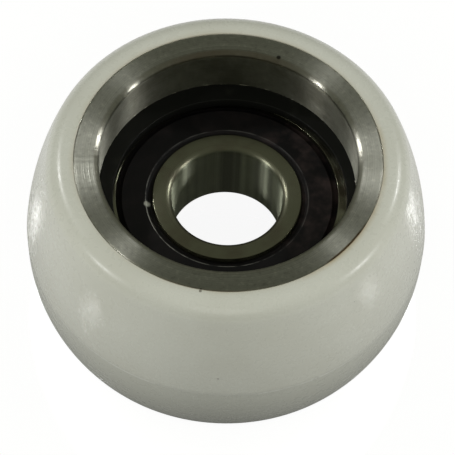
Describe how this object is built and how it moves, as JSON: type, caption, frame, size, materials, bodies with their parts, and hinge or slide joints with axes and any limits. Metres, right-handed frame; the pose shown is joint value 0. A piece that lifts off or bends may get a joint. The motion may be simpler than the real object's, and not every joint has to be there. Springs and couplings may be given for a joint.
{
  "type": "garage door roller",
  "caption": "Garage door roller: barrel-shaped nylon tread on a turned steel sleeve, running on a sealed ball bearing held by an internal retaining ring.",
  "frame": {"origin": "centre of the bearing's bore, midway along it", "axes": "+Z along the bore, out of the open recess over the retaining ring; +X to the right in the stored pose"},
  "size_m": [0.0546, 0.0546, 0.028],
  "materials": {
    "nylon": "off-white nylon, satin, turned",
    "turned_steel": "bare turned steel with circular tool marks and a little rust at the joint",
    "black_spring_steel": "black phosphated spring steel",
    "ground_steel": "ground bearing steel",
    "seal_rubber": "black nitrile rubber",
    "insert_steel": "plain sheet steel",
    "cage_steel": "pressed sheet steel",
    "ball_steel": "polished bearing steel"
  },
  "bodies": {
    "inner_ring": {"bearing_inner_ring": "ground_steel"},
    "wheel": {"nylon_tread": "nylon", "steel_sleeve": "turned_steel", "retaining_ring": "black_spring_steel", "bearing_outer_ring": "ground_steel", "seal_upper": "seal_rubber", "seal_upper_insert": "insert_steel", "seal_lower": "seal_rubber", "seal_lower_insert": "insert_steel"},
    "cage": {"cage_upper": "cage_steel", "cage_lower": "cage_steel", "cage_rivet_1": "cage_steel", "cage_rivet_2": "cage_steel", "cage_rivet_3": "cage_steel", "cage_rivet_4": "cage_steel", "cage_rivet_5": "cage_steel", "cage_rivet_6": "cage_steel", "cage_rivet_7": "cage_steel", "cage_rivet_8": "cage_steel"},
    "ball_body_1": {"ball_1": "ball_steel"},
    "ball_body_2": {"ball_2": "ball_steel"},
    "ball_body_3": {"ball_3": "ball_steel"},
    "ball_body_4": {"ball_4": "ball_steel"},
    "ball_body_5": {"ball_5": "ball_steel"},
    "ball_body_6": {"ball_6": "ball_steel"},
    "ball_body_7": {"ball_7": "ball_steel"},
    "ball_body_8": {"ball_8": "ball_steel"}
  },
  "joints": [
    {"name": "wheel_spin", "type": "hinge", "parent": "inner_ring", "child": "wheel", "pos_m": [0, 0, 0], "axis": [0, 0, 1], "continuous": true},
    {"name": "cage_spin", "type": "hinge", "parent": "inner_ring", "child": "cage", "pos_m": [0, 0, 0], "axis": [0, 0, 1], "continuous": true},
    {"name": "ball_1_spin", "type": "hinge", "parent": "cage", "child": "ball_body_1", "pos_m": [0.00884, 0.00884, 0], "axis": [0, 0, 1], "continuous": true},
    {"name": "ball_2_spin", "type": "hinge", "parent": "cage", "child": "ball_body_2", "pos_m": [0, 0.0125, 0], "axis": [0, 0, 1], "continuous": true},
    {"name": "ball_3_spin", "type": "hinge", "parent": "cage", "child": "ball_body_3", "pos_m": [-0.00884, 0.00884, 0], "axis": [0, 0, 1], "continuous": true},
    {"name": "ball_4_spin", "type": "hinge", "parent": "cage", "child": "ball_body_4", "pos_m": [-0.0125, 0, 0], "axis": [0, 0, 1], "continuous": true},
    {"name": "ball_5_spin", "type": "hinge", "parent": "cage", "child": "ball_body_5", "pos_m": [-0.00884, -0.00884, 0], "axis": [0, 0, 1], "continuous": true},
    {"name": "ball_6_spin", "type": "hinge", "parent": "cage", "child": "ball_body_6", "pos_m": [0, -0.0125, 0], "axis": [0, 0, 1], "continuous": true},
    {"name": "ball_7_spin", "type": "hinge", "parent": "cage", "child": "ball_body_7", "pos_m": [0.00884, -0.00884, 0], "axis": [0, 0, 1], "continuous": true},
    {"name": "ball_8_spin", "type": "hinge", "parent": "cage", "child": "ball_body_8", "pos_m": [0.0125, 0, 0], "axis": [0, 0, 1], "continuous": true}
  ],
  "couplings": [
    {"joint": "cage_spin", "follows": "wheel_spin", "ratio": 0.61906},
    {"joint": "ball_1_spin", "follows": "wheel_spin", "ratio": 1.9807},
    {"joint": "ball_2_spin", "follows": "wheel_spin", "ratio": 1.9807},
    {"joint": "ball_3_spin", "follows": "wheel_spin", "ratio": 1.9807},
    {"joint": "ball_4_spin", "follows": "wheel_spin", "ratio": 1.9807},
    {"joint": "ball_5_spin", "follows": "wheel_spin", "ratio": 1.9807},
    {"joint": "ball_6_spin", "follows": "wheel_spin", "ratio": 1.9807},
    {"joint": "ball_7_spin", "follows": "wheel_spin", "ratio": 1.9807},
    {"joint": "ball_8_spin", "follows": "wheel_spin", "ratio": 1.9807}
  ]
}
